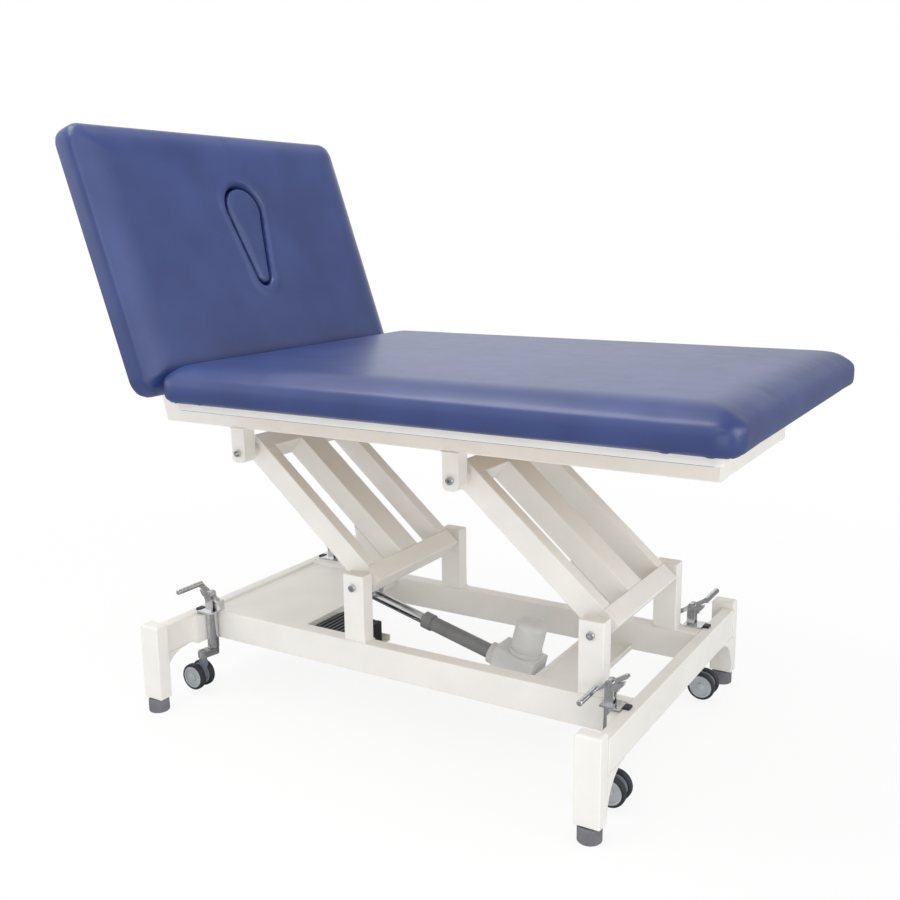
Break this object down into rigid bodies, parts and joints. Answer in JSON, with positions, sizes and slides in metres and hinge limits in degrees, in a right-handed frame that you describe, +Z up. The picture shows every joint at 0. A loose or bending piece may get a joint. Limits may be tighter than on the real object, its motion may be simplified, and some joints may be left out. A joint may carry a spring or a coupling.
{
  "type": "treatment table",
  "caption": "Padded treatment table with a raised backrest and plugged face hole, lifted by parallel arms and an actuator over a base with levelling feet and retractable casters.",
  "frame": {"origin": "on the floor, under the middle of the table's whole box at rest", "axes": "+X runs from the head end to the foot end, +Y across to the far side, +Z up"},
  "size_m": [1.679, 1, 1.4612],
  "materials": {
    "frame_paint": "off-white powder coat, satin",
    "vinyl": "navy coated upholstery fabric with a fine grain",
    "plywood": "birch plywood, sealed",
    "steel_bright": "bright chromium plate",
    "zinc_steel": "zinc plated steel",
    "rubber_pad": "dark grey rubber",
    "actuator_shell": "light grey moulded plastic",
    "actuator_tube": "dark grey coated tube",
    "rod_steel": "bright drawn steel",
    "box_plastic": "black moulded plastic",
    "bush_plastic": "white acetal",
    "caster_plastic": "grey moulded nylon",
    "wheel": "grey disc with a dark polyurethane tread"
  },
  "bodies": {
    "base": {"base_rails": "frame_paint", "cross_beams": "frame_paint", "legs": "frame_paint", "posts": "frame_paint", "lower_pivot_bolts": "steel_bright", "head_cover_plate": "frame_paint", "control_tray": "frame_paint", "control_box": "box_plastic", "motor_plate": "frame_paint", "motor_pin": "zinc_steel", "levelling_pads": "rubber_pad", "levelling_stems": "zinc_steel", "caster_guides": "steel_bright", "guide_blocks": "frame_paint", "tab_caps": "box_plastic"},
    "head_arm": {"head_arm_bars": "frame_paint", "head_arm_cross_tubes": "frame_paint", "head_arm_bushes": "bush_plastic", "lift_lever": "frame_paint", "lever_pin": "zinc_steel"},
    "foot_arm": {"foot_arm_bars": "frame_paint", "foot_arm_cross_tubes": "frame_paint", "foot_arm_bushes": "bush_plastic", "foot_arm_gusset": "frame_paint"},
    "top_frame": {"top_rails": "frame_paint", "top_end_tubes": "frame_paint", "seat_bearers": "frame_paint", "top_brackets": "frame_paint", "upper_pivot_bolts": "steel_bright", "hinge_ears": "frame_paint", "hinge_pins": "zinc_steel", "stay_jaws": "frame_paint", "seat_board": "plywood", "seat_cushion": "vinyl"},
    "backrest": {"back_board": "plywood", "back_cushion": "vinyl", "back_frame": "frame_paint", "hinge_lugs": "frame_paint", "stay_quadrant": "zinc_steel"},
    "face_plug_body": {"face_plug": "vinyl"},
    "clamp": {"clamp_lever": "zinc_steel"},
    "actuator": {"actuator_housing": "actuator_shell", "outer_tube": "actuator_tube"},
    "actuator_rod": {"inner_rod": "rod_steel"},
    "pedal_near_head": {"pedal_near_head": "steel_bright"},
    "carrier_near_head": {"carrier_near_head": "steel_bright"},
    "caster_near_head": {"caster_housing_near_head": "caster_plastic"},
    "wheels_near_head": {"caster_wheels_near_head": "wheel"},
    "pedal_far_head": {"pedal_far_head": "steel_bright"},
    "carrier_far_head": {"carrier_far_head": "steel_bright"},
    "caster_far_head": {"caster_housing_far_head": "caster_plastic"},
    "wheels_far_head": {"caster_wheels_far_head": "wheel"},
    "pedal_near_foot": {"pedal_near_foot": "steel_bright"},
    "carrier_near_foot": {"carrier_near_foot": "steel_bright"},
    "caster_near_foot": {"caster_housing_near_foot": "caster_plastic"},
    "wheels_near_foot": {"caster_wheels_near_foot": "wheel"},
    "pedal_far_foot": {"pedal_far_foot": "steel_bright"},
    "carrier_far_foot": {"carrier_far_foot": "steel_bright"},
    "caster_far_foot": {"caster_housing_far_foot": "caster_plastic"},
    "wheels_far_foot": {"caster_wheels_far_foot": "wheel"}
  },
  "joints": [
    {"name": "lift", "type": "hinge", "parent": "base", "child": "head_arm", "pos_m": [-0.15651, 0, 0.353], "axis": [0, 1, 0], "range_deg": [-42, 8.4]},
    {"name": "foot_arm_swing", "type": "hinge", "parent": "base", "child": "foot_arm", "pos_m": [0.46949, 0, 0.353], "axis": [0, 1, 0], "range_deg": [-42, 8.4]},
    {"name": "table_level", "type": "hinge", "parent": "head_arm", "child": "top_frame", "pos_m": [-0.50269, 0, 0.65287], "axis": [0, 1, 0], "range_deg": [-8.4, 42]},
    {"name": "backrest_tilt", "type": "hinge", "parent": "top_frame", "child": "backrest", "pos_m": [-0.56451, 0, 0.86587], "axis": [0, 1, 0], "range_deg": [-71, 14]},
    {"name": "stay_clamp_turn", "type": "hinge", "parent": "top_frame", "child": "clamp", "pos_m": [-0.67765, 0, 0.75273], "axis": [0, 1, 0], "range_deg": [-60, 0]},
    {"name": "face_plug_pull", "type": "slide", "parent": "backrest", "child": "face_plug_body", "axis": [0.9455, 0, 0.3256], "range_m": [0, 0.13]},
    {"name": "actuator_swing", "type": "hinge", "parent": "base", "child": "actuator", "pos_m": [0.24049, 0, 0.108], "axis": [0, 1, 0], "range_deg": [-6, 2]},
    {"name": "rod_stroke", "type": "slide", "parent": "actuator", "child": "actuator_rod", "axis": [-0.9686, 0, 0.2486], "range_m": [-0.118, 0.026]},
    {"name": "pedal_rock_near_head", "type": "hinge", "parent": "base", "child": "pedal_near_head", "pos_m": [-0.61251, -0.266, 0.263], "axis": [0, -1, 0], "range_deg": [0, 80]},
    {"name": "carrier_drop_near_head", "type": "slide", "parent": "base", "child": "carrier_near_head", "axis": [0, 0, 1], "range_m": [-0.0202, 0]},
    {"name": "caster_swivel_near_head", "type": "hinge", "parent": "carrier_near_head", "child": "caster_near_head", "pos_m": [-0.61851, -0.301, 0.09], "axis": [0, 0, 1], "continuous": true},
    {"name": "wheel_spin_near_head", "type": "hinge", "parent": "caster_near_head", "child": "wheels_near_head", "pos_m": [-0.63751, -0.301, 0.045], "axis": [0, 1, 0], "continuous": true},
    {"name": "pedal_rock_far_head", "type": "hinge", "parent": "base", "child": "pedal_far_head", "pos_m": [-0.61251, 0.266, 0.263], "axis": [0, -1, 0], "range_deg": [0, 80]},
    {"name": "carrier_drop_far_head", "type": "slide", "parent": "base", "child": "carrier_far_head", "axis": [0, 0, 1], "range_m": [-0.0202, 0]},
    {"name": "caster_swivel_far_head", "type": "hinge", "parent": "carrier_far_head", "child": "caster_far_head", "pos_m": [-0.61851, 0.301, 0.09], "axis": [0, 0, 1], "continuous": true},
    {"name": "wheel_spin_far_head", "type": "hinge", "parent": "caster_far_head", "child": "wheels_far_head", "pos_m": [-0.63751, 0.301, 0.045], "axis": [0, 1, 0], "continuous": true},
    {"name": "pedal_rock_near_foot", "type": "hinge", "parent": "base", "child": "pedal_near_foot", "pos_m": [0.52349, -0.266, 0.263], "axis": [0, 1, 0], "range_deg": [0, 80]},
    {"name": "carrier_drop_near_foot", "type": "slide", "parent": "base", "child": "carrier_near_foot", "axis": [0, 0, 1], "range_m": [-0.0202, 0]},
    {"name": "caster_swivel_near_foot", "type": "hinge", "parent": "carrier_near_foot", "child": "caster_near_foot", "pos_m": [0.52949, -0.301, 0.09], "axis": [0, 0, 1], "continuous": true},
    {"name": "wheel_spin_near_foot", "type": "hinge", "parent": "caster_near_foot", "child": "wheels_near_foot", "pos_m": [0.54849, -0.301, 0.045], "axis": [0, 1, 0], "continuous": true},
    {"name": "pedal_rock_far_foot", "type": "hinge", "parent": "base", "child": "pedal_far_foot", "pos_m": [0.52349, 0.266, 0.263], "axis": [0, 1, 0], "range_deg": [0, 80]},
    {"name": "carrier_drop_far_foot", "type": "slide", "parent": "base", "child": "carrier_far_foot", "axis": [0, 0, 1], "range_m": [-0.0202, 0]},
    {"name": "caster_swivel_far_foot", "type": "hinge", "parent": "carrier_far_foot", "child": "caster_far_foot", "pos_m": [0.52949, 0.301, 0.09], "axis": [0, 0, 1], "continuous": true},
    {"name": "wheel_spin_far_foot", "type": "hinge", "parent": "caster_far_foot", "child": "wheels_far_foot", "pos_m": [0.54849, 0.301, 0.045], "axis": [0, 1, 0], "continuous": true}
  ],
  "couplings": [
    {"joint": "foot_arm_swing", "follows": "lift", "ratio": 1},
    {"joint": "table_level", "follows": "lift", "ratio": -1},
    {"joint": "actuator_swing", "follows": "lift", "ratio": 0.116},
    {"joint": "rod_stroke", "follows": "lift", "m_per_rad": 0.15564},
    {"joint": "carrier_drop_near_head", "follows": "pedal_rock_near_head", "m_per_rad": -0.014324},
    {"joint": "carrier_drop_far_head", "follows": "pedal_rock_far_head", "m_per_rad": -0.014324},
    {"joint": "carrier_drop_near_foot", "follows": "pedal_rock_near_foot", "m_per_rad": -0.014324},
    {"joint": "carrier_drop_far_foot", "follows": "pedal_rock_far_foot", "m_per_rad": -0.014324}
  ]
}
